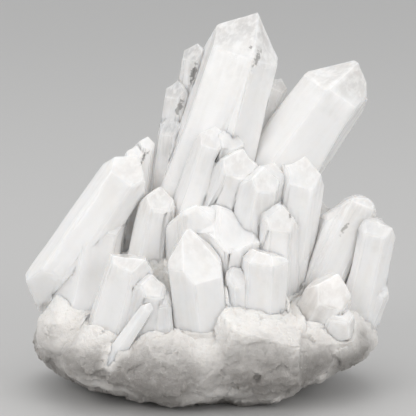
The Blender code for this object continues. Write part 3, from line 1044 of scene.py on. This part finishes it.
rock = {
    "middle": (-1, -1, 13.5), "reach": (55.5, 41, 17.5),  # mm
    "lumpSpacing": 19.0, "lumpHeight": 2.8,
    "ridgeSpacing": 13.0, "ridgeHeight": 1.1, "ridgeLevel": 1.2,
    "ridges": (0.9, 2.2, 4, 1.0, 2.0),  # as the noise takes them
    "pitSpacing": 8.0, "pitDepth": 2.4, "pitLevel": 0.3,
    "lift": 4.0, "liftStart": 20.0, "liftRun": 20.0,  # how its right end rises
    "lumps": [
        ((-45, -16, 22), (9, 8, 7.5)), ((-34, -29, 16), (11, 7, 8)), ((-11, -33, 15), (15, 7, 10)),
        ((42, 4, 17), (11, 12, 9)), ((-36, 20, 20), (12, 12, 9)), ((20, 28, 16), (13, 9, 10)),
        ((-4, 2, 26), (37, 22, 24)),  # what fills the gaps between the crystals
    ],
    "lumpGrain": 1.6, "lumpGrainSpacing": 5.0,
    "ledge": [
        ((28, -36, 15), (1.0, -0.15, 0.0)), ((20, -35, 26.5), (0.3, -0.35, 1.0)),
        ((15, -39, 16), (0.0, -1.0, -0.2)), ((3, -36, 18), (-1.0, -0.5, 0.2)),
        ((15, -30, 6), (0.1, -0.3, -1.0)), ((27, -37, 10), (0.7, -0.5, -0.6)),
        ((15, -14, 15), (0.0, 1.0, 0.0)), ((15, -30, 1.5), (0.0, 0.0, -1.0)),
    ],
    "hollows": [  # place, radius and depth, mm
        ((7.6, -38, 8.8), 1.7, 1.6), ((15.0, -38, 11.6), 1.5, 1.5), ((13.6, -38, 7.2), 1.2, 1.0),
    ],
    "hollowShape": (1.0, 0.35, 0.75), "hollowEnds": 1.15, "hollowEdge": 0.5,
    "voxel": 0.61,  # mm
    "chips": 0.28, "flakes": 0.2, "grains": 0.34, "smallHollows": 1.0, "smoothAbove": 30.0,
}

smallPoints = {
    "count": 26, "seed": 12, "half": (1.3, 2.6), "length": (5.0, 10.0), "height": (20, 46),
    "lean": 0.4, "rise": 0.7, "step": 0.3, "bedded": 0.5, "worn": (0.25,),
    "looks": {"waves": 0.08, "growthLines": 0.06, "chips": 0.2, "frost": 0.12, "frostStarts": 3.0},
}


def rockSurface(way):
    # where the block's surface is in one direction from its middle
    way.normalize()
    stretch = math.sqrt(sum((way[i] / rock["reach"][i]) ** 2 for i in range(3)))
    spot = Vector(rock["middle"]) + way / stretch
    lump = noise.noise(spot / rock["lumpSpacing"])
    ridge = noise.ridged_multi_fractal(spot / rock["ridgeSpacing"], *rock["ridges"]) - rock["ridgeLevel"]
    pit = noise.voronoi(spot / rock["pitSpacing"])[0][0] - rock["pitLevel"]
    spot += way * (rock["lumpHeight"] * lump + rock["ridgeHeight"] * ridge - rock["pitDepth"] * pit)
    spot.z += rock["lift"] * min(max(spot.x - rock["liftStart"], 0) / rock["liftRun"], 1)
    return spot * mm


def lumpSurface(way, middle, reach):
    # the same for one of its lumps
    spot = Vector([middle[i] + way[i] * reach[i] for i in range(3)])
    return (spot + way * noise.noise(spot / rock["lumpGrainSpacing"]) * rock["lumpGrain"]) * mm


def ball(subdivisions, surface, *shape):
    # a closed ball with every corner put where the surface is
    bm = bmesh.new()
    bmesh.ops.create_icosphere(bm, subdivisions=subdivisions, radius=1.0)
    for vert in bm.verts:
        vert.co = surface(vert.co.copy(), *shape)
    return bm


def rockBody():
    # the block with its lumps and its broken ledge, as one even mesh
    bm = ball(6, rockSurface)
    cutAway(bm, (0, 0, 0), (0, 0, -1))
    made = linkFilled("rock", bm)
    for lump in rock["lumps"]:
        combine(made, linkFilled("lump", ball(4, lumpSurface, *lump)), "UNION")
    combine(made, linkFilled("ledge", flatSided(flatFaces(rock["ledge"], "end"))), "UNION")
    even = made.modifiers.new("even", "REMESH")
    even.mode = "VOXEL"
    even.voxel_size = rock["voxel"] * mm
    settle(made)
    return made


def sinkHollows(piece):
    # the larger hollows in the front
    mesh = piece.data
    spots = places(mesh)
    normals = readRows(mesh.vertices, "normal", 3)
    for place, radius, depth in rock["hollows"]:
        away = np.linalg.norm((spots / mm - np.array(place)) * rock["hollowShape"], axis=1) / radius
        share = np.clip((rock["hollowEnds"] - away) / rock["hollowEdge"], 0, 1)
        spots -= normals * (share * share * (3 - 2 * share) * depth * mm)[:, None]
    setPlaces(mesh, spots)


def smallCrystals(block):
    # the small points that stand out of the block
    tree = surfaceTree(block)
    dice = random.Random(smallPoints["seed"])
    middle = Vector(rock["middle"]) * mm
    count, step, aside = smallPoints["count"], smallPoints["step"], smallPoints["lean"]
    found = []
    for i in range(count):
        around = 2 * math.pi * (i + dice.uniform(-step, step)) / count
        height = math.radians(dice.uniform(*smallPoints["height"]))
        level = math.cos(height)
        way = Vector((math.cos(around) * level, math.sin(around) * level, math.sin(height)))
        spot = tree.ray_cast(middle + way * 2 * max(rock["reach"]) * mm, -way)[0] / mm
        lean = Vector((dice.uniform(-aside, aside), dice.uniform(-aside, aside),
                       dice.uniform(0.0, smallPoints["rise"])))
        lean = (way + lean).normalized()
        length = dice.uniform(*smallPoints["length"])
        half = dice.uniform(*smallPoints["half"])
        under = length * smallPoints["bedded"]
        found.append(point(spot + lean * (length - under), spot - lean * under, half,
                           turn=dice.uniform(0, 60), worn=smallPoints["worn"]))
    return found


rockPaint = {
    # the block darkens from its top colour to its low colour towards the foot: partly a greyer stone, partly
    # painted shade
    "top": (0.93, 0.912, 0.888), "low": (0.295, 0.28, 0.266),
    "fade": (31.0, 11.5), "fadeSpread": 12.0,  # mm of height
    "lowGreyAndShadeShare": 0.95, "jointLightShare": 0.8,
    "cloud": 9.0, "grit": 0.7, "sugar": 0.55,  # mm across
    "cloudTint": (0.76, 0.74, 0.715), "cloudEdges": (0.5, 0.7), "cloudShare": 0.3,
    "lightTint": (0.93, 0.93, 0.92), "lightEdges": (0.6, 0.75), "lightShare": 0.5,
    "darkTint": (0.5, 0.48, 0.455), "darkEdges": (0.42, 0.28), "darkShare": 0.45,
    "roughness": 0.42, "gritRoughness": 0.5, "gritHeight": 0.8, "sugarHeight": 0.6,
    "scatter": 0.8, "bumpHeight": 0.3,  # mm
    "bumpStrength": 0.7,
}


def rockFinish():
    paint = rockPaint
    material, w, here, attribute = newFinish("rough_block_finish")
    clouds = w.cloud(here, paint["cloud"], 4.0, 0.6)
    sugar = w.cells(here, paint["sugar"])
    grit = w.cloud(here, paint["grit"], 4.0, 0.7)
    # darker towards the foot, partly greyer stone and partly painted shade, and less so near the crystals'
    # joints
    low = (w.heightOf(here) + (clouds - 0.5) * paint["fadeSpread"]).ramp(*paint["fade"])
    low = low * (1.0 - attribute("joint") * paint["jointLightShare"])
    colour = w.blend(low * paint["lowGreyAndShadeShare"], paint["top"], paint["low"])
    for name, pattern in (("cloud", clouds), ("light", grit), ("dark", grit)):
        share = pattern.ramp(*paint[name + "Edges"]) * paint[name + "Share"]
        colour = w.blend(share, colour, paint[name + "Tint"])
    rough = paint["roughness"] + (grit - 0.5) * paint["gritRoughness"]
    height = grit * paint["gritHeight"] + (1.0 - sugar) * paint["sugarHeight"]
    stone = milkyStone(w, paint, colour, rough, height)[0]
    w.add("ShaderNodeOutputMaterial", sockets={"Surface": stone})
    return material


def restOnFloor(mesh):
    # flatten what would reach below the resting face
    spots = places(mesh)
    spots[:, 2] = np.maximum(spots[:, 2], 0.0)
    setPlaces(mesh, spots)


def growBlock():
    block = rockBody()
    sinkHollows(block)
    small = smallCrystals(block)
    finish = rockFinish()
    useTree(block, rockSkin, rock)
    looks = dict(usualLooks, **smallPoints["looks"])
    combine(block, grownTogether(small, looks, fineLevels - 1), "UNION")
    restOnFloor(block.data)
    print("block shaped:", len(block.data.polygons), "faces")
    skin = surfaceTree(block)
    fitRound(block, inFront)
    healSeams(block, [], inFront, skin)
    restOnFloor(block.data)
    block.name = "matrix_rock"
    handOver(block, "matrix", "rough_quartz", finish)
    return block


block = growBlock()
print("block finished:", len(block.data.polygons), "faces")


# The studio: a pale floor and soft lights.

studio = {
    "floor": (0.55, 0.55, 0.547),
    "floorReach": 6.0,  # metres
    "sky": 0.73, "horizon": 0.67,  # how bright the room is overhead and level
    "skyFrom": 0.9,  # the share of the way up where it's as bright as overhead
    "aim": (0, 0, 0.05),  # metres, where the lights point
    "lights": [  # name, place in metres, width, watts, colour
        ("key", (-0.7, -0.8, 0.7), 0.7, 3.0, (1.0, 0.975, 0.955)),
        ("fill", (0.8, -0.9, 0.5), 0.8, 3.3, (1.0, 0.98, 0.965)),
        ("top", (0.0, 0.1, 1.2), 0.8, 2.2, (1.0, 0.985, 0.975)),
    ],
}


def buildStudio():
    bm = bmesh.new()
    bmesh.ops.create_circle(bm, cap_ends=True, segments=64, radius=studio["floorReach"])
    floor = linkFilled("floor", bm)
    paint = bpy.data.materials.new("floor_paint")
    w = emptied(paint)
    matt = w.add("ShaderNodeBsdfPrincipled", sockets={"Base Color": (*studio["floor"], 1), "Roughness": 0.6})
    w.add("ShaderNodeOutputMaterial", sockets={"Surface": matt})
    floor.data.materials.append(paint)
    for name, place, width, watts, colour in studio["lights"]:
        lamp = bpy.data.lights.new(name, "AREA")
        lamp.shape = "DISK"
        lamp.size = width
        lamp.energy = watts
        lamp.color = colour
        made = link(name, lamp)
        made.location = place
        aim = Vector(studio["aim"]) - Vector(place)
        made.rotation_euler = aim.to_track_quat("-Z", "Y").to_euler()
    world = bpy.data.worlds.new("studio")
    bpy.context.scene.world = world
    w = emptied(world)
    upward = w.heightOf(w.add("ShaderNodeTexCoord", out=0))
    glow = studio["horizon"] + upward.ramp(0.0, studio["skyFrom"]) * (studio["sky"] - studio["horizon"])
    room = w.add("ShaderNodeBackground", sockets={"Color": (1, 1, 1, 1), "Strength": glow})
    w.add("ShaderNodeOutputWorld", sockets={"Surface": room})
    bpy.context.scene.view_settings.view_transform = "Standard"


buildStudio()
print("studio lit")
